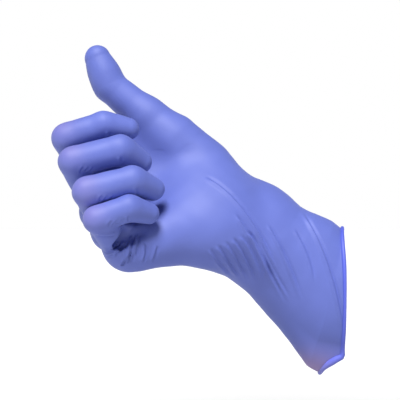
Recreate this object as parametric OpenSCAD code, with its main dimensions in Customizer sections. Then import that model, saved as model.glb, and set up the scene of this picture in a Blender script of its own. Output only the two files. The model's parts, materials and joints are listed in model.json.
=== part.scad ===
// Disposable nitrile glove, right hand, held in a thumbs-up by its wearer's hand.
// One dip-moulded film with a rolled bead round its mouth. Each region of the film that turns
// about one of the wearer's joints is a node of its own, a thin hollow stall or sleeve.
// Origin: the centre of the cuff's mouth. +X points out of the mouth, +Z is up.
// In a stall's own frame x runs to the fingertip, y is the hinge and z is the back of the hand.

/* [Film] */
// Thickness of the film as modelled
film = 0.3; // [0.2:0.05:0.5]
// Running gap between films that turn in each other
gap = 0.3; // [0.25:0.05:0.5]
// Radius of the rolled bead round the mouth
bead_r = 1.25; // [1:0.05:2]

/* [Cuff] */
// Half height of the mouth
mouth_z = 46; // [40:0.5:50]
// Half depth of the mouth
mouth_y = 28; // [24:0.5:34]
// Half width of the throat, where the wrist film turns in the cuff
throat_w = 36.5; // [36:0.5:40]
// Half thickness of the throat
throat_t = 28; // [25:0.5:30]
// Sections from throat to mouth: middle's x and z, tilt back, half height, half depth
cuff_rings = [[-59, 36, 38, 35, 33], [-40, 22, 30, 38, 33], [-26, 10, 23, 43, 31], [-16, -3, 15, 48, 30]];

/* [Wrist] */
// Place of the wrist, from the middle of the mouth
wrist_at = [-87, -9, 55]; // [-120:1:120]
// Turn of the hand: its x runs to the fingers, y to the thumb side, z to the back
hand_turn = [132, 5, -169]; // [-180:1:180]
// Length of the wrist film between its two hinges
wrist_len = 26; // [24:1:30]
// Backward bend of the wrist
wrist_bend = 23.5; // [20:0.5:28]
// Sideways bend of the wrist towards the little finger
wrist_lean = 39; // [36:0.5:42]
// Half width of the wrist
wrist_y = 36; // [33:0.5:37]
// Half thickness of the wrist
wrist_z = 25; // [22:0.5:26]

/* [Palm] */
// Place of each knuckle in the hand, from index to little finger
knuckles = [[84, 34, 0], [85, 13, 3], [79, -7, 1], [70, -25, -4]];
// Place and radius of the pad below the little finger
heel_pad = [30, -15, -8, 18]; // [-40:0.5:60]

/* [Fingers, from index to little] */
// Lengths of the three stalls of each finger
stall_len = [[44, 26, 24], [48, 31, 25], [45, 29, 25], [36, 21, 22]];
// Radii of each finger at its three knuckles and its tip
stall_r = [[10, 9.3, 8.6, 7.6], [10, 9.5, 8.8, 7.8], [9.6, 8.6, 8.1, 7.4], [8.6, 7.3, 7, 6.6]];
// Bend of each finger at its three knuckles
bends = [[68, 91, 34], [74, 94, 52], [73, 98, 46], [60, 106, 46]];
// Sideways spread of each finger
spread = [3, 0, -4, -7]; // [-12:1:12]
// Twist of each finger about its own length
twist = [13, 8, 1, 4]; // [-12:1:12]
// How much further than this a knuckle closes
finger_close = 3; // [0:0.5:5]

/* [Thumb] */
// Place of the thumb's root in the hand
thumb_at = [8, 33, -10]; // [-40:0.5:60]
// Turn of the thumb in the hand
thumb_turn = [-125, 26, 48]; // [-180:1:180]
// Lengths of the thumb's three stalls
thumb_len = [55, 33, 28]; // [20:0.5:60]
// Radii of the thumb at its three knuckles and its tip
thumb_r = [15.5, 12.8, 11.2, 9.2]; // [8:0.1:18]
// Bend of the thumb at its second and third knuckles
thumb_bends = [7, -21]; // [-30:1:30]
// Travel of the thumb's three knuckles, towards the palm
thumb_close = [8, 35, 70]; // [0:1:80]
// Travel of the thumb's three knuckles, away from the palm
thumb_open = [8, 12, 4]; // [0:1:15]

/* [Hidden] */
film_blue = "#8089de";
bead_blue = "#5f6fe0";
index = 0;
middle = 1;
ring = 2;
little = 3;
// films that nest: the outer one's radius less the inner one's
step = film + gap;
// slack left round what turns inside a cut, beyond the gap, for the facets of the swept shape
slack = 0.25;
// the same for films that turn in the palm, the wrist film or the cuff, with that slack
nest = step + slack;
// travel of the wrist's two hinges: [back or little-finger side, forward or thumb side]
bend_travel = [-8, 40];
lean_travel = [-4, 30];
// bend backwards that the thumb's second and third knuckles reach
next_back = [thumb_open[1] - thumb_bends[0], thumb_open[2] - thumb_bends[1]];
// arc of dome on the palm side of each thumb knuckle
back_cover = [40, 50, 45];
// how far back the inner film of a wrist hinge reaches, as an angle on its own spheroid
wrist_cover = 52;
// half width of the web of film cut away between two fingers
web = 1.5;
// extra arc of a finger's knuckle dome beyond its travel
dome_extra = 12;
big = 200;
$fn = 36;

// ---- frames ----
module at_wrist() translate(wrist_at) rotate(hand_turn) children();
module at_wrist_film() at_wrist() rotate([0, wrist_bend, 0]) children();
module at_throat() at_wrist_film() translate([-wrist_len, 0, 0]) rotate([0, 0, wrist_lean]) children();
module at_knuckle(i) at_wrist() in_knuckle(i) children();
module in_knuckle(i, q = 0) translate(knuckles[i]) rotate([0, 0, spread[i]]) rotate([twist[i], 0, 0])
    rotate([0, bends[i][0] + q, 0]) children();
module at_second(i) at_knuckle(i) translate([stall_len[i][0], 0, 0]) rotate([0, bends[i][1], 0])
    children();
module at_third(i) at_second(i) translate([stall_len[i][1], 0, 0]) rotate([0, bends[i][2], 0])
    children();
module at_thumb() at_wrist() in_thumb() children();
module in_thumb(q = 0) translate(thumb_at) rotate(thumb_turn) rotate([0, q, 0]) children();
module at_thumb_second() at_thumb() translate([thumb_len[0], 0, 0]) rotate([0, thumb_bends[0], 0])
    children();
module at_thumb_third() at_thumb_second() translate([thumb_len[1], 0, 0])
    rotate([0, thumb_bends[1], 0]) children();

// ---- stalls ----
// arc of radius r about the point z on the axis, as [radius, along] pairs
function arc(r, z, from, to, n) =
    [for (k = [0:n]) let (a = from + (to - from) * k / n) [r * cos(a), z + r * sin(a)]];
// outline of a stall: knuckle dome behind x = 0, then a taper to an open end or a domed tip
function outline(len, r, end_r, tip, back = -87) = concat(arc(r, 0, back, 0, 8),
    tip ? arc(end_r, len - end_r, 0, 90, 6) : [[end_r, len]]);
function reversed(list) = [for (k = [len(list) - 1:-1:0]) list[k]];

module lathe_along_x(points) rotate([0, 90, 0]) rotate_extrude($fn = 48) polygon(points);
module slab_through_y(points) rotate([90, 0, 0]) linear_extrude(height = big, center = true)
    polygon(points);

// hollow stall: the dome stays closed over the back of the knuckle and open to the stall behind
module stall(len, r, end_r, cover, tip = false, next_r = 0, next_bend = 90)
    difference() {
        lathe_along_x(concat(outline(len, r, end_r, tip),
            reversed(outline(len - (tip ? film : 0), r - film, end_r - film, tip))));
        slab_through_y([[0, 0], 4 * r * [-sin(cover), cos(cover)], [-4 * r, -4 * r], [0, -4 * r]]);
        if (!tip) translate([len, 0, 0]) palm_side_cut(next_r, next_bend);
    }

// what is cut from a stall's end so that the next stall can fold towards the palm
module palm_side_cut(r, bend) {
    function edge(z) = -(r + gap + z * cos(bend)) / sin(bend);
    slab_through_y([[0, 0], [0, 3 * r], [3 * r, 3 * r], [3 * r, -3 * r], [edge(-3 * r), -3 * r],
        [edge(0), 0]]);
}

// solid form of a stall, grown on all sides, for cutting its way out of the palm
module stall_form(len, r, end_r)
    let (grow = gap + slack)
    lathe_along_x(concat([[0, -r - grow]], outline(len, r + grow, end_r + grow, false, -80), [[0, len]]));

module finger_stall(i, k, cover, next_bend)
    stall(stall_len[i][k], stall_r[i][k], k < 2 ? stall_r[i][k + 1] + step : stall_r[i][3], cover,
        k == 2, k < 2 ? stall_r[i][k + 1] : 0, next_bend);

module finger_base(i) color(film_blue) at_knuckle(i)
    finger_stall(i, 0, bends[i][0] + finger_close + dome_extra, bends[i][1] + finger_close);
module finger_middle(i) color(film_blue) at_second(i)
    finger_stall(i, 1, bends[i][1] + finger_close + dome_extra, bends[i][2] + finger_close);
module finger_tip(i) color(film_blue) at_third(i)
    finger_stall(i, 2, bends[i][2] + finger_close + dome_extra, 0);

// ---- thumb ----
module thumb_base() color(film_blue) at_thumb()
    thumb_stall(0, 60, thumb_bends[0] + thumb_close[1]);
module thumb_middle() color(film_blue) at_thumb_second()
    thumb_stall(1, thumb_bends[0] + thumb_close[1] + dome_extra, thumb_bends[1] + thumb_close[2]);
module thumb_tip() color(film_blue) at_thumb_third()
    thumb_stall(2, thumb_bends[1] + thumb_close[2] + dome_extra, 0);

// a thumb stall also bends backwards, so its dome covers both sides and its end is cut back twice
module thumb_stall(k, cover, next_bend) {
    len = thumb_len[k];
    r = thumb_r[k];
    end_r = k < 2 ? thumb_r[k + 1] + step : thumb_r[3];
    back = back_cover[k];
    difference() {
        lathe_along_x(concat(outline(len, r, end_r, k == 2),
            reversed(outline(len - (k == 2 ? film : 0), r - film, end_r - film, k == 2))));
        slab_through_y([[0, 0], 4 * r * [-sin(cover), cos(cover)], [-8 * r, 0],
            4 * r * [-sin(back), -cos(back)]]);
        if (k < 2) translate([len, 0, 0]) both_sides_cut(thumb_r[k + 1], next_bend, next_back[k]);
    }
}
// what is cut from a thumb stall's end so that the next one can bend either way
module both_sides_cut(r, bend, back) {
    function setback(z, a) = -(r + gap - z * cos(a)) / sin(a);
    wall = r + step;
    slab_through_y([[0, 0], [min(0, setback(wall, back)), wall], [min(0, setback(wall, back)), 3 * r],
        [3 * r, 3 * r], [3 * r, -3 * r], [min(0, setback(wall, bend)), -3 * r],
        [min(0, setback(wall, bend)), -wall]]);
}

// ---- palm and wrist ----
module knuckle_ball(i, grow) translate(knuckles[i]) sphere(stall_r[i][0] + nest + grow);
module wrist_ball(grow) scale([wrist_z + grow, wrist_y + grow, wrist_z + grow]) sphere(1);
module heel_ball(grow) translate([heel_pad.x, heel_pad.y, heel_pad.z]) sphere(heel_pad[3] + grow);
module thumb_ball(grow) translate(thumb_at) sphere(thumb_r[0] + nest + grow);

// closed form of the hand from the wrist to the knuckles; grow sets it in or out
module hand_form(grow = 0) {
    for (i = [0:2]) hull() {
        wrist_ball(grow);
        knuckle_ball(i, grow);
        knuckle_ball(i + 1, grow);
        if (i > 0) heel_ball(grow);
    }
    hull() {
        wrist_ball(grow);
        thumb_ball(grow);
    }
}

module palm_and_back() color(film_blue) at_wrist() difference() {
    hand_form();
    hand_form(-film);
    // open to the wrist
    translate([-wrist_z * sin(wrist_cover) - big, -big / 2, -big / 2]) cube(big);
    // open to the fingers, over all their travel
    for (i = [0:3]) {
        for (q = [finger_close, -20, -40, -bends[i][0]]) in_knuckle(i, q)
            stall_form(stall_len[i][0], stall_r[i][0], stall_r[i][1] + step);
        in_knuckle(i, -bends[i][0]) translate([0, -stall_r[i][0] - web, -stall_r[i][0]])
            cube([big, 2 * (stall_r[i][0] + web), big]);
    }
    // open to the thumb
    for (q = [-thumb_open[0], 0, thumb_close[0]]) in_thumb(q)
        stall_form(thumb_len[0], thumb_r[0], thumb_r[1] + step);
}

// closed form of the wrist film, in its own frame at the wrist
module wrist_form(grow = 0) hull() {
    scale([1, wrist_y + nest + grow, wrist_z + nest + grow]) sphere(1);
    translate([-wrist_len, 0, 0]) throat_ball(grow);
}
module throat_ball(grow) scale([throat_w + grow, throat_w + grow, throat_t + grow]) sphere(1);

module wrist_film() color(film_blue) at_wrist_film() difference() {
    union() {
        wrist_form();
        translate([-wrist_len, 0, 0]) throat_ball(0);
    }
    wrist_form(-film);
    translate([-wrist_len, 0, 0]) throat_ball(-film);
    translate([-wrist_len - throat_w * sin(wrist_cover) - big, -big / 2, -big / 2]) cube(big);
    for (q = [bend_travel[0], 0, bend_travel[1] / 2, bend_travel[1]])
        rotate([0, q - wrist_bend, 0]) hand_form(gap + slack);
}

// ---- cuff ----
module throat_plate(grow) at_throat() rotate([0, 90, 0])
    linear_extrude(height = 0.5, center = true) scale([throat_t + nest + grow, throat_w + nest + grow])
        circle(1);
// cuff section: k = 0 is the throat, the last is the mouth, and cuff_rings lie between
module cuff_section(k, grow) {
    if (k == 0) throat_plate(grow);
    else if (k > len(cuff_rings)) mouth_plate(grow);
    else let (c = cuff_rings[k - 1]) translate([c[0], 0, c[1]]) rotate([0, 90 + c[2], 0])
        linear_extrude(height = 0.5, center = true) scale([c[3] + grow, c[4] + grow]) circle(1);
}
module mouth_plate(grow) translate([-2 * bead_r - 0.5, 0, 0]) rotate([0, 90, 0])
    linear_extrude(height = 0.5)
        scale([mouth_z - bead_r + film / 2 + grow, mouth_y - bead_r + film / 2 + grow]) circle(1);

module cuff_form(grow = 0) for (k = [0:len(cuff_rings)]) hull() {
    cuff_section(k, grow);
    cuff_section(k + 1, grow);
}

module cuff_sleeve() color(film_blue) difference() {
    cuff_form();
    cuff_form(-film);
    at_throat() translate([0, -big / 2, -big / 2]) cube(big);
    mouth_plate(-film);
    for (q = [lean_travel[0], lean_travel[1] / 2, lean_travel[1]]) at_throat() rotate([0, 0, q - wrist_lean])
        translate([wrist_len, 0, 0]) wrist_form(gap + slack);
}

// ring of the rolled bead: a small circle carried round the mouth's oval, square to it
bead_sides = 8;
bead_steps = 60;
function oval(t) = [0, (mouth_y - bead_r) * cos(t), (mouth_z - bead_r) * sin(t)];
function oval_out(t) = let (n = [0, cos(t) / (mouth_y - bead_r), sin(t) / (mouth_z - bead_r)]) n / norm(n);
function bead_point(t, a) = [-bead_r, 0, 0] + oval(t) + bead_r * (cos(a) * oval_out(t) + sin(a) * [1, 0, 0]);
bead_points = [for (k = [0:bead_steps - 1]) for (j = [0:bead_sides - 1])
    bead_point(k * 360 / bead_steps, (j + 0.5) * 360 / bead_sides)];
function bead_index(k, j) = (k % bead_steps) * bead_sides + j % bead_sides;
bead_faces = [for (k = [0:bead_steps - 1]) for (j = [0:bead_sides - 1])
    [bead_index(k, j), bead_index(k, j + 1), bead_index(k + 1, j + 1), bead_index(k + 1, j)]];

module rolled_bead() color(bead_blue) polyhedron(bead_points, bead_faces);

cuff_sleeve();
rolled_bead();
wrist_film();
palm_and_back();
thumb_base();
thumb_middle();
thumb_tip();
finger_base(index);  // index_base
finger_middle(index);  // index_middle
finger_tip(index);  // index_tip
finger_base(middle);  // middle_base
finger_middle(middle);  // middle_middle
finger_tip(middle);  // middle_tip
finger_base(ring);  // ring_base
finger_middle(ring);  // ring_middle
finger_tip(ring);  // ring_tip
finger_base(little);  // little_base
finger_middle(little);  // little_middle
finger_tip(little);  // little_tip
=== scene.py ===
"""Worn nitrile glove in a thumbs-up: one stretched film with a rolled bead round its mouth.

The film is the zero surface of a field built from tapered stems between the frame's joints.
Lengths are in millimetres until a mesh is made. Every piece of film but the palm's is cut round
one joint but does not bend with it, and the palm and the bead ride one body each.
"""
import json
import math

import bpy
import numpy as np
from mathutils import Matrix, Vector


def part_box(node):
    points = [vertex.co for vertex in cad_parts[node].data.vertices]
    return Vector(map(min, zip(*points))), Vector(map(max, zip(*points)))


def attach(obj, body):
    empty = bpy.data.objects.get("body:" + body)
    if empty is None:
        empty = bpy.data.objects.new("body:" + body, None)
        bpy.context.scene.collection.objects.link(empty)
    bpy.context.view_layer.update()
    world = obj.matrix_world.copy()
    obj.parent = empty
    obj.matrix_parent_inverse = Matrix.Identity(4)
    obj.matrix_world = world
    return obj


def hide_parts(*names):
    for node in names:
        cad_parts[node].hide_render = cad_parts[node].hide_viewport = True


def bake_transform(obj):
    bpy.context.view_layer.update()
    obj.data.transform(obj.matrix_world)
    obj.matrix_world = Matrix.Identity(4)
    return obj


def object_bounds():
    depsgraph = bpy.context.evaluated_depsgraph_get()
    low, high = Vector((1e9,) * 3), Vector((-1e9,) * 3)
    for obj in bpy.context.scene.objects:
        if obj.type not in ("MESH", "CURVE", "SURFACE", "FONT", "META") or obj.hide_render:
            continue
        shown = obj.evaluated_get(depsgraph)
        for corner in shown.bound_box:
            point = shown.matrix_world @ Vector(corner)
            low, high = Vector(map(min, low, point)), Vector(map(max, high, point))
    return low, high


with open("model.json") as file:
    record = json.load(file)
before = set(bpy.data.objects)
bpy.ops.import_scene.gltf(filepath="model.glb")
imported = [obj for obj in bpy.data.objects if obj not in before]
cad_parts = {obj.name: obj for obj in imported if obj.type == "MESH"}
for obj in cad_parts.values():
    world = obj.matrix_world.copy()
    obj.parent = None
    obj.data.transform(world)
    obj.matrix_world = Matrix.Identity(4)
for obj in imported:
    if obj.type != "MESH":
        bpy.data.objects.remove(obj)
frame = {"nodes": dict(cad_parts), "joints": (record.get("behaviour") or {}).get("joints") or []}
cad_low, cad_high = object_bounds()

MM = 0.001
FINGERS = ("index", "middle", "ring", "little")
KNUCKLES = ("knuckle", "second_knuckle", "end_knuckle")
CELL = 0.8  # size of a mesh cell
BLOCK = 4  # cells between the coarse samples that find where the surface is

# ---- the form's own sizes; places come from the frame ----
# Cuff sections from the throat to the mouth: middle's x and z from the middle of the mouth,
# lean of the section in degrees, half height, half depth
CUFF = [(-62, 41, 38, 30.5, 29),
        (-52, 31, 36, 33.2, 31),
        (-40, 22, 30, 38, 31),
        (-26, 10.5, 23, 42.7, 30),
        (-14, 0.5, 14, 45.5, 29),
        (0, -1, 3, 46.5, 27.5)]
LIP = 0.25  # how much further down the mouth's lowest part reaches, as a share of its half height
FLAP_TOP = 42  # how far below the middle of the mouth its edge starts to sweep back
FLAP_BACK = 20  # the most that it sweeps back
FRONT_IN = 3.5  # how far the front of the edge is drawn in
WRIST_WIDE, WRIST_THIN = 36, 24  # half width and half thickness of the wrist's oval
KNUCKLE_R = (9.4, 8, 8, 13)  # radii of the palm's form at the four knuckles
# radii at a finger's or the thumb's three joints and at its tip
FINGER_R = ((9.4, 9.9, 8.8, 7.6), (6.2, 9.3, 9.4, 7.8), (7.8, 9.0, 8.9, 7.6), (11, 8.2, 7.9, 6.9))
THUMB_R = (16, 12.2, 11, 9.2)
THUMB_SHIFT = (-2.5, 3, 3.4, 1.4)  # how far the thumb's middle line lies from its joints
THUMB_TIP = 1.5  # how far its dome reaches beyond the CAD's
BELLY = 0.5  # how far the film stands out between two knuckles
THUMB_PAD = 1.4  # the same over the pad of the thumb

# ---- where the film is cut, and bend zones that bend() is given but does not use ----
ROOT = 20  # how far from its knuckle a finger's film runs into the palm's
THUMB_ROOT = 70  # the same for the thumb, from its root
FINGER_CUTS = (0.5, 0.62)  # cuts between pieces, as shares of the lengths between knuckles
THUMB_CUTS = (42, 17)  # the same in millimetres from the joint before
FINGER_ROOT_BEND = (-5, 9)  # where the bend at the root starts and ends
THUMB_ROOT_BEND = (16, 40)
FINGER_HEM, THUMB_HEM = 4, 7  # how deep an open edge is turned in
BEND = 9  # longest bend zone on one side of a knuckle
TIP_BEND = 7  # the same beyond the end knuckle, where no cut follows
SEAM = 1.2 * CELL  # clear film between a bend and the cut beside it
OUT_OF_PALM = 0.03  # how far a digit's film has to stand out of the palm's to be kept

# ---- skeleton: places and axes of the frame's joints ----
JOINTS = {j["name"]: j for j in frame["joints"]}


def unit(v):
    """The vector at a length of 1."""
    v = np.array(v, float)
    return v / np.linalg.norm(v)


def place(joint):
    """Where a joint is at rest."""
    return np.array(JOINTS[joint]["pos_m"]) / MM


def hinge(joint):
    """Direction of a joint's axis."""
    return unit(JOINTS[joint]["axis"])


def far_end(node, start, radius):
    """Centre of the domed tip of a stall, on the line from its hinge to the farthest point."""
    points = np.array([v.co for v in frame["nodes"][node].data.vertices]) / MM
    reach = points - start
    tip = points[np.argmax((reach * reach).sum(1))]
    return tip - radius * unit(tip - start)


wrist = place("wrist_bend")
throat = place("wrist_lean")
hand_y = hinge("wrist_bend")  # towards the thumb side
middle_of_row = (place("middle_knuckle") + place("ring_knuckle")) / 2 - wrist
hand_x = unit(middle_of_row - (middle_of_row @ hand_y) * hand_y)  # towards the fingers
hand_z = np.cross(hand_x, hand_y)  # towards the back of the hand
wrist_z = hinge("wrist_lean") * np.sign(hinge("wrist_lean") @ hand_z)
wrist_x = unit(wrist - throat)
CUFF_CUT = 13  # along wrist_x from the throat
HEEL_CUT = (wrist - throat) @ wrist_x + 12
bead_low, bead_high = (np.array(c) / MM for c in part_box("rolled_bead"))
bead_r = (bead_high - bead_low)[0] / 2
mouth = (bead_low + bead_high) / 2
mouth[0] = bead_high[0]


def in_hand(x, y, z):
    """Point given along the hand, towards the thumb side and towards the back, from the wrist."""
    return wrist + x * hand_x + y * hand_y + z * hand_z


# ---- fields: negative inside, positive outside, about a millimetre a millimetre ----
def ball(p, centre, radius):
    """Ball about a centre."""
    return np.linalg.norm(p - centre, axis=1) - radius


def stem(p, a, b, radius_a, radius_b, belly=0.0):
    """Round bar from a to b whose radius eases from end to end and is a belly wider half way."""
    d = b - a
    t = np.clip((p - a) @ d / (d @ d), 0, 1)
    radius = radius_a + (radius_b - radius_a) * t * t * (3 - 2 * t) + belly * 4 * t * (1 - t)
    return np.linalg.norm(p - a - t[:, None] * d, axis=1) - radius


def join(a, b, blend):
    """Union of two fields with a fillet about blend wide."""
    h = np.maximum(blend - np.abs(a - b), 0) / blend
    return np.minimum(a, b) - h * h * blend / 4


def meet(a, b, blend):
    """Overlap of two fields with a rounded edge about blend wide."""
    return -join(-a, -b, blend)


def smooth(t):
    """Eases from 0 to 1 as t does."""
    t = np.clip(t, 0, 1)
    return t * t * (3 - 2 * t)


def lowest(up, out):
    """1 at the bottom of an oval section, fading to 0 up its sides."""
    return smooth((-up / np.maximum(np.hypot(up, out), 1e-6) - 0.7) / 0.3)


def cuff(p):
    """Sleeve lofted through the sections: each point lies between the planes of two of them."""
    rows = np.array(CUFF, float)
    lean = np.radians(rows[:, 2])
    middle = np.stack([rows[:, 0], 0 * lean, rows[:, 1]], 1) + mouth
    forward = np.stack([np.cos(lean), 0 * lean, -np.sin(lean)], 1)
    ahead = np.stack([(p - m) @ f for m, f in zip(middle, forward)], 1)
    k = np.clip((ahead > 0).sum(1) - 1, 0, len(CUFF) - 2)
    n = np.arange(len(p))
    before, after = ahead[n, k], ahead[n, k + 1]
    t = np.clip(before / np.maximum(before - after, 1e-6), 0, 1)

    def at(values):
        return values[k] + (values[k + 1] - values[k]) * t

    tilt = at(lean)
    dx, dy, dz = (p[:, c] - at(middle[:, c]) for c in range(3))
    across = dx * np.sin(tilt) + dz * np.cos(tilt)
    high, deep = at(rows[:, 3]), at(rows[:, 4])
    near_mouth = smooth((p[:, 0] - mouth[0] + 48) / 34)
    high = high * (1 + LIP * lowest(across / high, dy / deep) * near_mouth)
    k0 = np.hypot(across / high, dy / deep)
    k1 = np.hypot(across / high**2, dy / deep**2)
    tube = k0 * (k0 - 1) / np.maximum(k1, 1e-6)
    return meet(tube, -ahead[:, 0] - 6, 14)


def mouth_x(p):
    """Where the cuff's edge lies along X: its front is drawn in and its lowest part swept back."""
    below = np.maximum(mouth[2] - FLAP_TOP - p[:, 2], 0)
    drawn_in = FRONT_IN * smooth((8 - p[:, 1]) / 30)
    return mouth[0] - drawn_in - FLAP_BACK * (1 - np.exp(-below / 9))


def wrist_tube(p):
    """Oval tube of film over the wrist, from the throat to the hand."""
    height = (p - throat) @ wrist_z
    round_p = p + np.outer(height, wrist_z) * (WRIST_WIDE / WRIST_THIN - 1)
    start = throat - hand_y - [0, 4, 0]
    return stem(round_p, start, wrist, WRIST_WIDE + 1, WRIST_WIDE + 4) * 0.8


def plate(p, a, b, c, radius):
    """Round-edged slab over the triangle a b c."""
    ba, cb, ac = b - a, c - b, a - c
    normal = np.cross(ba, ac)
    sides = [(a, ba), (b, cb), (c, ac)]
    over = sum(np.sign((p - q) @ np.cross(d, normal)) for q, d in sides) >= 2
    edges = [np.linalg.norm(p - q - np.outer(np.clip((p - q) @ d / (d @ d), 0, 1), d), axis=1)
             for q, d in sides]
    flat = np.abs((p - a) @ normal) / np.linalg.norm(normal)
    return np.where(over, flat, np.min(edges, 0)) - radius


KNUCKLE = [place(f + "_knuckle") for f in FINGERS]


def chain(name, joints, tip_radius):
    """A digit's three joints and the centre of its dome."""
    points = [place(j) for j in joints]
    return points + [far_end(name + "_tip", points[-1], tip_radius)]


thumb_joints = chain("thumb", ("thumb_root", "thumb_knuckle", "thumb_end"), THUMB_R[3])
across_thumb = np.cross(unit(thumb_joints[2] - thumb_joints[1]), hinge("thumb_end"))
across_thumb *= np.sign(-across_thumb[2])  # towards the pad of the thumb
THUMB = [point + shift * across_thumb for point, shift in zip(thumb_joints, THUMB_SHIFT)]
THUMB[3] = THUMB[3] + THUMB_TIP * unit(THUMB[3] - THUMB[2])


def palm(p):
    """Cuff, wrist and hand as one closed form, without the fingers and the free thumb."""
    hand = stem(p, in_hand(6, 12, 0), KNUCKLE[0], 23, KNUCKLE_R[0])
    for start, end, radius in zip((5, -4, -11), KNUCKLE[1:], KNUCKLE_R[1:]):
        hand = join(hand, stem(p, in_hand(6, start, 0), end, 23, radius), 12)
    for a, b in zip(KNUCKLE, KNUCKLE[1:]):
        hand = join(hand, stem(p, a, b, 9, 9), 5)
    edge_of_hand = stem(p, in_hand(26, -16, -6), in_hand(62, -26, -6), 16.5, 13.5)
    hand = join(hand, edge_of_hand, 12)
    ball_of_thumb = stem(p, THUMB[0], (THUMB[0] + THUMB[1]) / 2, 20, 18.5)
    hand = join(hand, ball_of_thumb, 14)
    heel = stem(p, in_hand(10, -19, -2), throat - [4, 8, 19], 18.5, 22)
    hand = join(hand, heel, 12)
    web_end = THUMB[0] * 0.12 + THUMB[1] * 0.88
    web = plate(p, in_hand(14, 14, -6), KNUCKLE[0] - 8 * hand_x, web_end, 9.5)
    hand = join(hand, web, 10)
    return join(join(cuff(p), wrist_tube(p), 14), meet(hand, hollow(p), 4), 14)


def hollow(p):
    """The dent in the palm below the curled little finger; negative outside it."""
    return -stem(p, KNUCKLE[3] + [-3, -14, 6], KNUCKLE[3] + [10, -14, 13], 6, 5)


def finger(i):
    """Field of a finger's stall with the palm near its knuckle, and its four places."""
    name, radii = FINGERS[i], FINGER_R[i]
    joints = [f"{name}_{k}" for k in KNUCKLES]
    points = chain(name, joints, radii[3])

    def field(p):
        root = meet(palm(p), ball(p, points[0], ROOT), 4)
        base = stem(p, *points[:2], *radii[:2], BELLY)
        root = join(root, base, 7)
        if name == "little":
            root = meet(root, hollow(p), 4)
        return join(root, free_part(p, points, radii), 3)

    return field, points


def free_part(p, points, radii, pad=BELLY):
    """The middle and end stems of a digit."""
    middle = stem(p, *points[1:3], *radii[1:3], BELLY)
    end = stem(p, *points[2:4], *radii[2:4], pad)
    return join(middle, end, 3)


def thumb(p):
    """The thumb's stall with the palm; the fillet between them fades towards the wrist."""
    d = THUMB[1] - THUMB[0]
    t = np.clip((p - THUMB[0]) @ d / (d @ d), 0, 1)
    base = stem(p, THUMB[0], THUMB[1], THUMB_R[0], THUMB_R[1])
    return join(join(palm(p), base, 1 + 13 * t), free_part(p, THUMB, THUMB_R, THUMB_PAD), 6)


# ---- surface nets: one vertex in each cell that the surface crosses ----
def samples(field, low, high):
    """The field on a grid of cells: exact near the surface, and from coarse samples elsewhere."""
    count = np.ceil((high - low) / CELL / BLOCK).astype(int) * BLOCK + 1
    lines = [low[k] + CELL * BLOCK * np.arange(count[k] // BLOCK + 1) for k in range(3)]
    grid = np.stack(np.meshgrid(*lines, indexing="ij"), -1)
    coarse = field(grid.reshape(-1, 3)).reshape(grid.shape[:3])
    nearest = [np.minimum((np.arange(n) + BLOCK // 2) // BLOCK, n // BLOCK) for n in count]
    value = coarse[np.ix_(*nearest)]
    near = np.abs(value) < 1.9 * BLOCK * CELL
    value[near] = field(low + CELL * np.argwhere(near))
    return value


def crossed_cells(value):
    """Which cells the surface crosses, and the middle of the crossings in each, in cells."""
    inside = value < 0
    x, y, z = np.array(value.shape) - 1
    total = sum(inside[i:x + i, j:y + j, k:z + k].astype(np.int8)
                for i in (0, 1) for j in (0, 1) for k in (0, 1))
    mixed = (total > 0) & (total < 8)
    cells = np.argwhere(mixed)
    where, hits = np.zeros((len(cells), 3)), np.zeros(len(cells))
    for axis in range(3):
        for one, two in ((0, 0), (0, 1), (1, 0), (1, 1)):
            start = np.insert([one, two], axis, 0)
            stop = np.insert([one, two], axis, 1)
            a, b = value[tuple((cells + start).T)], value[tuple((cells + stop).T)]
            crossed = (a < 0) != (b < 0)
            t = a[crossed] / (a[crossed] - b[crossed])
            where[crossed] += start + t[:, None] * (stop - start)
            hits += crossed
    return mixed, cells + where / hits[:, None]


def quads_between(inside, mixed):
    """A quad, facing out, round each grid edge that the surface crosses."""
    number = np.full(mixed.shape, -1)
    number[mixed] = np.arange(mixed.sum())
    quads = []
    for axis in range(3):
        u, w = np.eye(3, dtype=int)[[(axis + 1) % 3, (axis + 2) % 3]]
        first, second = [slice(1, -1)] * 3, [slice(1, -1)] * 3
        first[axis], second[axis] = slice(0, -1), slice(1, None)
        a, b = inside[tuple(first)], inside[tuple(second)]
        at = np.argwhere(a != b)
        quad = np.stack([number[tuple((at + s).T)] for s in (0 * u, u, u + w, w)], 1)
        quads.append(np.where(a[tuple(at.T)][:, None], quad, quad[:, ::-1]))
    return np.concatenate(quads)


def skin(field, low, high):
    """Vertices and quads of the field's zero surface, relaxed and moved onto it."""
    value = samples(field, low, high)
    mixed, middles = crossed_cells(value)
    vertices = low + CELL * middles
    quads = quads_between(value < 0, mixed)
    edges = np.unique(np.sort(sides_of(quads), 1), axis=0)
    for share in (0.6, 0.6, 0.5):
        vertices = onto(field, relaxed(vertices, edges, slope(field, vertices), share))
    return onto(field, vertices), quads


def sides_of(quads):
    """The four sides of every quad, each as its two vertices in order."""
    return np.concatenate([quads[:, [k, (k + 1) % 4]] for k in range(4)])


def slope(field, p, reach=0.05):
    """Gradient of the field at each point."""
    steps = np.eye(3) * reach
    return np.stack([field(p + s) - field(p - s) for s in steps], 1) / (2 * reach)


def onto(field, p):
    """Points moved down the slope onto the zero surface."""
    g = slope(field, p)
    return p - g * (np.clip(field(p), -1, 1) / np.maximum((g * g).sum(1), 0.05))[:, None]


def relaxed(p, edges, normal, share):
    """Points moved along the surface towards the middle of their neighbours."""
    total, count = np.zeros_like(p), np.zeros(len(p))
    for a, b in (edges.T, edges.T[::-1]):
        np.add.at(total, a, p[b])
        np.add.at(count, a, 1)
    move = total / count[:, None] - p
    n = normal / np.linalg.norm(normal, axis=1)[:, None]
    return p + share * (move - n * (move * n).sum(1)[:, None])


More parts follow.
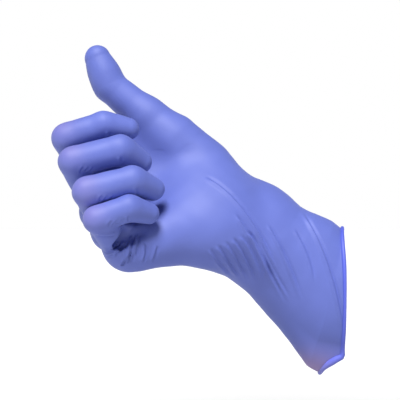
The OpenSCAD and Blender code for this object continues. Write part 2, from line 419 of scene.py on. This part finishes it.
def normals_of(p, quads):
    """Vertex normals, each the sum of its faces' by area."""
    corner = p[quads]
    face = np.cross(corner[:, 2] - corner[:, 0], corner[:, 3] - corner[:, 1])
    total = np.zeros_like(p)
    for k in range(4):
        np.add.at(total, quads[:, k], face)
    return total / np.maximum(np.linalg.norm(total, axis=1), 1e-9)[:, None]


# Folds on the palm side, by the joint that they are placed from: start, middle and end as
# (right, up) in millimetres from it, then width and height
FOLDS = {
    "wrist_lean": [((-35, 29), (-9, 7), (16, -38), 1.3, 0.6),
                   ((-15, 5), (0, -18), (20, -57), 1.2, 0.55),
                   ((-3, -5), (9, -29), (23, -54), 1.1, 0.35),
                   ((7, -2), (19, -24), (31, -55), 1.1, 0.5),
                   ((25, -5), (34, -23), (38, -41), 1.2, 0.4),
                   ((32, 6), (48, -30), (59, -78), 1.3, 0.65)],
    "little_knuckle": [((9, 10), (8, 2), (7, -5), 0.9, 0.6),
                       ((5, 9), (4, 0), (1, -10), 1.0, 0.7),
                       ((7, 6), (6, -1), (4, -9), 0.9, 0.5),
                       ((1, 5), (-3, 0), (-7, -4), 1.0, 0.7),
                       ((2, -3), (0, -7), (-3, -11), 0.9, 0.5),
                       ((13, 4), (13, -3), (11, -9), 1.0, 0.5),
                       ((21, 3), (19, -4), (17, -9), 1.0, 0.4),
                       ((-3, 5), (-7, 1), (-13, -1), 0.9, 0.6),
                       ((-3, 2), (-7, -2), (-12, -4), 0.9, 0.5),
                       ((-4, 11), (-10, 10), (-16, 11), 1.0, 0.4)],
}
# the fan of folds under the little finger's side of the hand
for k in range(6):
    FOLDS["wrist_lean"].append(((-32 + 5 * k, -17 + 2 * k), (-25 + 5.5 * k, -28 + 1.5 * k),
                                (-16 + 5.5 * k, -38 - 1.5 * k), 1.2, 0.4 + 0.1 * (k % 2)))
# one short crease under each finger's end knuckle, and three beside it on three of them
for name, side in zip(FINGERS, (3, 0, 2, -1)):
    FOLDS[name + "_end_knuckle"] = [((side, -5), (side, -7), (side, -10), 0.9, 0.25)]
for name, x, z in (("middle", -17, -11), ("ring", -12, -9), ("little", -4, -7)):
    for k in range(3):
        FOLDS[name + "_end_knuckle"].append(((x - 3 * k, z), (x - 2 - 3 * k, z - 2),
                                             (x - 5 - 2 * k, z - 3 - k), 0.8, 0.2))
FOLD_RISE = 1.9  # what all those heights are multiplied by, so that they show as in the photo
FOLD_REACH = 6  # how far from its middle line a fold can be felt
FOLD_STEPS = 14  # straight stretches in a fold's curve
UNEVEN = 0.1  # height of the film's slight unevenness


def fold_line(joint, start, middle, end):
    """Points of the curve through three places, seen from the front."""
    t = np.linspace(0, 1, FOLD_STEPS + 1)[:, None]
    a, b, c = (np.array(q, float) + place(joint)[[0, 2]] for q in (start, middle, end))
    return a * (1 - t) * (1 - 2 * t) + b * 4 * t * (1 - t) + c * t * (2 * t - 1)


def beside(line, q):
    """How far each point lies to the side of the line, and how far along it, from 0 to 1."""
    best = np.full(len(q), np.inf)
    aside, along = np.zeros(len(q)), np.zeros(len(q))
    for k, (one, two) in enumerate(zip(line, line[1:])):
        d = two - one
        s = np.clip((q - one) @ d / (d @ d), 0, 1)
        off = q - one - s[:, None] * d
        away = np.hypot(*off.T)
        nearer = away < best
        best[nearer] = away[nearer]
        aside[nearer] = (np.sign(off @ [d[1], -d[0]]) * away)[nearer]
        along[nearer] = ((k + s) / FOLD_STEPS)[nearer]
    return aside, along


def relief(p, n):
    """Height of the folds and of a slight unevenness at each point of the film."""
    wave = p[:, 0] / 3.1 + 0.7 * np.sin(p[:, 2] / 4.3)
    height = UNEVEN * np.sin(wave) * np.sin(p[:, 2] / 3.7 + p[:, 1] / 5)
    facing = smooth((0.15 - n[:, 1]) / 0.5)
    for joint, folds in FOLDS.items():
        for start, middle, end, width, rise in folds:
            line = fold_line(joint, start, middle, end)
            low, high = line.min(0) - FOLD_REACH, line.max(0) + FOLD_REACH
            close = np.flatnonzero(((p[:, [0, 2]] > low) & (p[:, [0, 2]] < high)).all(1))
            aside, along = beside(line, p[close][:, [0, 2]])
            fade = smooth(along / 0.15) * smooth((1 - along) / 0.25)
            ridge = np.exp(-((aside / width) ** 2)) - np.exp(-((1.3 * aside / width + 1.7) ** 2))
            height[close] += FOLD_RISE * rise * ridge * fade * facing[close]
    return height


def film(field, low, high):
    """The film over a form, with its relief: vertices, quads and normals."""
    p, quads = skin(field, np.array(low, float), np.array(high, float))
    n = normals_of(p, quads)
    p = p + n * relief(p, n)[:, None]
    return p, quads, normals_of(p, quads)


def hem(p, quads, n, depth):
    """Turns the open edge of a stall in under the palm, so that no gap shows there."""
    pairs = sides_of(quads)
    _, index, count = np.unique(np.sort(pairs, 1), axis=0, return_index=True, return_counts=True)
    rim = pairs[index[count == 1]]
    rim_points, inverse = np.unique(rim, return_inverse=True)
    inverse = inverse.reshape(rim.shape) + len(p)
    turned = np.stack([rim[:, 1], rim[:, 0], inverse[:, 0], inverse[:, 1]], 1)
    below = p[rim_points] - depth * n[rim_points]
    return np.vstack([p, below]), np.vstack([quads, turned]), np.vstack([n, n[rim_points]])


# ---- materials ----
def nitrile(name, colour, paler, roughness):
    """Satin film with a fine grain, whose colour drifts a little and pales where it is stretched."""
    material = bpy.data.materials.new(name)
    material.use_nodes = True
    nodes, links = material.node_tree.nodes, material.node_tree.links
    shader = nodes["Principled BSDF"]
    shader.inputs["Roughness"].default_value = roughness
    shader.inputs["Sheen Weight"].default_value = 0.06
    shader.inputs["Sheen Roughness"].default_value = 0.4

    where = nodes.new("ShaderNodeTexCoord")
    drift = nodes.new("ShaderNodeTexNoise")
    drift.inputs["Scale"].default_value = 28
    drift.inputs["Detail"].default_value = 3
    links.new(where.outputs["Object"], drift.inputs["Vector"])
    drifted = nodes.new("ShaderNodeMix")
    drifted.data_type = "RGBA"
    drifted.inputs["A"].default_value = (*[0.9 * c for c in colour], 1)
    drifted.inputs["B"].default_value = (*[1.1 * c for c in colour], 1)
    links.new(drift.outputs["Fac"], drifted.inputs["Factor"])

    stretch = nodes.new("ShaderNodeAttribute")
    stretch.attribute_name = "stretch"
    stretched = nodes.new("ShaderNodeMix")
    stretched.data_type = "RGBA"
    stretched.inputs["B"].default_value = (*paler, 1)
    links.new(stretch.outputs["Fac"], stretched.inputs["Factor"])
    links.new(drifted.outputs["Result"], stretched.inputs["A"])
    links.new(stretched.outputs["Result"], shader.inputs["Base Color"])

    grain = nodes.new("ShaderNodeTexNoise")
    grain.inputs["Scale"].default_value = 900
    grain.inputs["Detail"].default_value = 2
    links.new(where.outputs["Object"], grain.inputs["Vector"])
    bump = nodes.new("ShaderNodeBump")
    bump.inputs["Strength"].default_value = 0.12
    bump.inputs["Distance"].default_value = 0.0003
    links.new(grain.outputs["Fac"], bump.inputs["Height"])
    links.new(bump.outputs["Normal"], shader.inputs["Normal"])
    return material


film_material = nitrile("nitrile_film", (0.11, 0.147, 0.49), (0.3, 0.22, 0.45), 0.6)
bead_material = nitrile("nitrile_bead", (0.09, 0.12, 0.6), (0.2, 0.2, 0.6), 0.5)


def stretch_of(p):
    """How far the film is drawn thin: over the bent knuckles and in the cuff's lowest part."""
    pale = np.exp(-(((p - mouth - [-24, -6, -54]) / [20, 30, 14]) ** 2).sum(1))
    for name in FINGERS:
        second = place(name + "_second_knuckle")
        bent = second - 8 * unit(place(name + "_knuckle") - second)
        pale += 0.3 * np.exp(-((p - bent) ** 2).sum(1) / 90)
    return np.clip(pale, 0, 1)


# ---- pieces ----
def piece_of(name, p, quads, n, slot, material):
    """Mesh object in metres, shaded smooth with the given normals."""
    used, index = np.unique(quads, return_inverse=True)
    mesh = bpy.data.meshes.new(name)
    mesh.from_pydata((p[used] * MM).tolist(), [], index.reshape(quads.shape).tolist())
    mesh.polygons.foreach_set("use_smooth", [True] * len(quads))
    mesh.update()
    mesh.normals_split_custom_set_from_vertices(n[used].tolist())
    mesh.materials.append(material)
    mesh.attributes.new("stretch", "FLOAT", "POINT").data.foreach_set("value", stretch_of(p[used]))
    made = bpy.data.objects.new(name, mesh)
    bpy.context.scene.collection.objects.link(made)
    return made


def bend(made, parent, child, at, along, before, after):
    """Bakes the piece's placement into its mesh; parent, child, at and along are not used."""
    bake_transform(made)


def biggest(quads, count):
    """The quads of the biggest connected part of a mesh."""
    label, before = np.arange(count), None
    while before is None or (label != before).any():
        before = label.copy()
        lowest_label = label[quads].min(1)
        for k in range(4):
            np.minimum.at(label, quads[:, k], lowest_label)
        label = label[label]
    part = label[quads[:, 0]]
    return quads[part == np.bincount(part).argmax()]


def to_stems(p, points):
    """Distance of each point to the middle line of each of a digit's stems."""
    return np.array([stem(p, a, b, 0, 0) for a, b in zip(points, points[1:])])


def part_of(p, points, cuts):
    """Which of a digit's pieces each point is on, by the cuts across the stem nearest to it."""
    own = np.argmin(to_stems(p, points), 0)
    part = np.full(len(p), 2)
    for k in (1, 0):
        along = (p - points[k]) @ unit(points[k + 1] - points[k])
        part[(own < k) | ((own == k) & (along < cuts[k]))] = k
    return part


def digit_film(field, points, radii, root_reach, hem_depth):
    """A digit's film without what lies in the palm, with its open edge turned in."""
    low = np.min(points, 0) - max(radii) - 16
    high = np.max(points, 0) + max(radii) + 16
    p, quads, n = film(field, low, high)
    away = np.linalg.norm(p - points[0], axis=1) > root_reach
    kept = (palm(p) > OUT_OF_PALM) | away
    reached = to_stems(p, points).min(0) < max(radii) + 20
    past_wrist = (p - throat) @ wrist_x > HEEL_CUT + 3
    quads = biggest(quads[(kept & reached & past_wrist)[quads].all(1)], len(p))
    return hem(p, quads, n, hem_depth)


def knuckle_bend(points, radii, cuts, k):
    """Direction of the film across knuckle k, and where its bend starts and ends between cuts."""
    come, go = unit(points[k] - points[k - 1]), unit(points[k + 1] - points[k])
    half = math.acos(np.clip(come @ go, -1, 1)) / 2
    room = radii[k] * math.sin(half) + SEAM
    length = np.linalg.norm(points[k] - points[k - 1])
    before = -min(BEND, (length - cuts[k - 1]) * math.cos(half) - room)
    after = min(BEND, cuts[k] * math.cos(half) - room) if k < 2 else TIP_BEND
    return unit(come + go), before, after


def digit_pieces(name, sheet, points, radii, cuts, root_bend):
    """Three pieces of a digit's film, one over each of its knuckles."""
    p, quads, n = sheet
    part = part_of(p[quads].mean(1), points, cuts)
    bodies = ["hand"] + [f"{name}_{k}" for k in ("base", "middle", "tip")]
    for k, joint in enumerate(KNUCKLES):
        made = piece_of(f"film_{name}_{joint}", p, quads[part == k], n, "film", film_material)
        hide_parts(bodies[k + 1])
        zone = knuckle_bend(points, radii, cuts, k) if k else root_bend
        bend(made, bodies[k], bodies[k + 1], points[k], *zone)


def hand_pieces():
    """The closed form's film, cut into the cuff's piece, the wrist's and the palm's."""
    low, high = np.array(cad_low) / MM - 14, np.array(cad_high) / MM + 14
    low[0] = min(k[0] for k in KNUCKLE) - 20
    high[0] = mouth[0] + 3 * CELL
    high[2] = THUMB[1][2] + 10
    p, quads, n = film(palm, low, high)
    edge = mouth_x(p) - bead_r
    quads = quads[(p[:, 0] < edge)[quads].any(1)]
    p[:, 0] = np.minimum(p[:, 0], edge)
    along = (p[quads].mean(1) - throat) @ wrist_x
    on_cuff, on_hand = along < CUFF_CUT, along >= HEEL_CUT
    parts = {"film_cuff": on_cuff, "film_wrist": ~on_cuff & ~on_hand, "film_palm_and_back": on_hand}
    made = {k: piece_of(k, p, quads[v], n, "film", film_material) for k, v in parts.items()}
    bend(made["film_cuff"], "cuff", "wrist", throat, wrist_x, -20, CUFF_CUT - SEAM)
    bend(made["film_wrist"], "wrist", "hand", throat, wrist_x, CUFF_CUT + SEAM, HEEL_CUT - SEAM)
    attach(made["film_palm_and_back"], "hand")
    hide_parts("cuff_sleeve")
    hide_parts("wrist_film")
    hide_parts("palm_and_back")


def finger_pieces(i):
    """A finger's three pieces."""
    field, points = finger(i)
    lengths = [np.linalg.norm(b - a) for a, b in zip(points, points[1:])]
    cuts = [share * length for share, length in zip(FINGER_CUTS, lengths)]
    halfway = unit(hand_x + unit(points[1] - points[0]))
    sheet = digit_film(field, points, FINGER_R[i], ROOT, FINGER_HEM)
    digit_pieces(FINGERS[i], sheet, points, FINGER_R[i], cuts, (halfway, *FINGER_ROOT_BEND))


def thumb_pieces():
    """The thumb's three pieces."""
    sheet = digit_film(thumb, THUMB, THUMB_R, THUMB_ROOT, THUMB_HEM)
    root_bend = (unit(THUMB[1] - THUMB[0]), *THUMB_ROOT_BEND)
    digit_pieces("thumb", sheet, THUMB, THUMB_R, THUMB_CUTS, root_bend)


hand_pieces()
for i in range(len(FINGERS)):
    finger_pieces(i)
thumb_pieces()


def bead():
    """Rolled bead: a ring swept along the cuff's edge, with a knob near its lowest point."""
    steps, sides = 240, 14
    t = np.arange(steps) * 2 * math.pi / steps
    rays = np.stack([0 * t, np.cos(t), np.sin(t)], 1)
    near, far = np.full(steps, 12.0), np.full(steps, 75.0)
    for _ in range(24):  # each round halves the stretch in which the film lies along a ray
        half = (near + far) / 2
        ring = mouth + rays * half[:, None]
        ring[:, 0] = mouth_x(ring) - bead_r
        within = palm(ring) < 0
        near, far = np.where(within, half, near), np.where(within, far, half)
    knob = 0.9 * np.exp(-(((t - 1.4 * math.pi) / 0.07) ** 2))
    thick = bead_r * (1.15 + 0.15 * np.sin(3 * t + 1) + knob)
    ahead = np.roll(ring, -1, 0) - np.roll(ring, 1, 0)
    ahead /= np.linalg.norm(ahead, axis=1)[:, None]
    out = np.cross(ahead, slope(palm, ring))
    out = np.cross(out, ahead)
    out /= np.linalg.norm(out, axis=1)[:, None]
    side = np.cross(ahead, out)
    a = np.arange(sides)[None, :, None] * 2 * math.pi / sides
    around = np.cos(a) * out[:, None] + np.sin(a) * side[:, None]
    p = (ring[:, None] + thick[:, None, None] * around).reshape(-1, 3)
    row = np.arange(steps)[:, None] * sides
    next_row = np.roll(row, -1, 0)
    spot = np.arange(sides)[None]
    next_spot = np.roll(spot, -1, 1)
    corners = [row + spot, next_row + spot, next_row + next_spot, row + next_spot]
    quads = np.stack(corners, -1).reshape(-1, 4)
    return p, quads, normals_of(p, quads)


made_bead = piece_of("bead_round_mouth", *bead(), "bead", bead_material)
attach(made_bead, "cuff")
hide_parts("rolled_bead")

# ---- stage, light and camera ----
CAMERA = (-0.1015, -0.600, 0.0644)  # 0.6 m in front of the middle of the photo, in metres
LENS, SENSOR = 77.14, 36
FLOOR_DROP = 0.12  # metres from the glove's lowest point to the floor


def ranged(nodes, source, target):
    """Map Range node from one range to another."""
    node = nodes.new("ShaderNodeMapRange")
    node.inputs["From Min"].default_value, node.inputs["From Max"].default_value = source
    node.inputs["To Min"].default_value, node.inputs["To Max"].default_value = target
    return node


def floor():
    """Pale floor, a little darker below the glove so that it throws less light up."""
    mesh = bpy.data.meshes.new("floor")
    z = cad_low.z - FLOOR_DROP
    mesh.from_pydata([(-6, -6, z), (6, -6, z), (6, 6, z), (-6, 6, z)], [], [(0, 1, 2, 3)])
    made = bpy.data.objects.new("floor", mesh)
    bpy.context.scene.collection.objects.link(made)
    material = bpy.data.materials.new("pale_floor")
    material.use_nodes = True
    nodes, links = material.node_tree.nodes, material.node_tree.links
    where = nodes.new("ShaderNodeTexCoord")
    length = nodes.new("ShaderNodeVectorMath")
    length.operation = "LENGTH"
    links.new(where.outputs["Object"], length.inputs[0])
    paling = ranged(nodes, (0.2, 0.65), (0.5, 0.97))
    links.new(length.outputs["Value"], paling.inputs["Value"])
    links.new(paling.outputs["Result"], nodes["Principled BSDF"].inputs["Base Color"])
    mesh.materials.append(material)


def studio(scene):
    """White on the far side, dimmer from the sides round to the near side, and dim overhead."""
    scene.world = bpy.data.worlds.new("studio")
    scene.world.use_nodes = True
    nodes, links = scene.world.node_tree.nodes, scene.world.node_tree.links
    where = nodes.new("ShaderNodeTexCoord")
    split = nodes.new("ShaderNodeSeparateXYZ")
    links.new(where.outputs["Generated"], split.inputs["Vector"])
    wall = ranged(nodes, (0.1, 0.8), (0.38, 1.0))
    links.new(split.outputs["Y"], wall.inputs["Value"])
    height = ranged(nodes, (0.25, 0.42), (1.0, 0.12))
    links.new(split.outputs["Z"], height.inputs["Value"])
    both = nodes.new("ShaderNodeMath")
    both.operation = "MULTIPLY"
    links.new(wall.outputs["Result"], both.inputs[0])
    links.new(height.outputs["Result"], both.inputs[1])
    nodes["Background"].inputs["Color"].default_value = (1, 1, 1, 1)
    links.new(both.outputs["Value"], nodes["Background"].inputs["Strength"])


def key_light(scene):
    """Broad soft light from above and from the camera's side."""
    key = bpy.data.lights.new("key", "SUN")
    key.energy, key.angle = 4.7, 0.4
    lamp = bpy.data.objects.new("key", key)
    lamp.rotation_euler = Vector((0.1, 0.6, -0.95)).to_track_quat("-Z", "Y").to_euler()
    scene.collection.objects.link(lamp)


def photo_camera(scene):
    """Camera level with the middle of the photo, looking straight at the palm."""
    camera_data = bpy.data.cameras.new("camera")
    camera_data.lens, camera_data.sensor_width = LENS, SENSOR
    camera = bpy.data.objects.new("camera", camera_data)
    camera.location = CAMERA
    camera.rotation_euler = (math.radians(90), 0, 0)
    scene.collection.objects.link(camera)
    scene.camera = camera


scene = bpy.context.scene
scene.view_settings.view_transform = "Standard"
floor()
studio(scene)
key_light(scene)
photo_camera(scene)
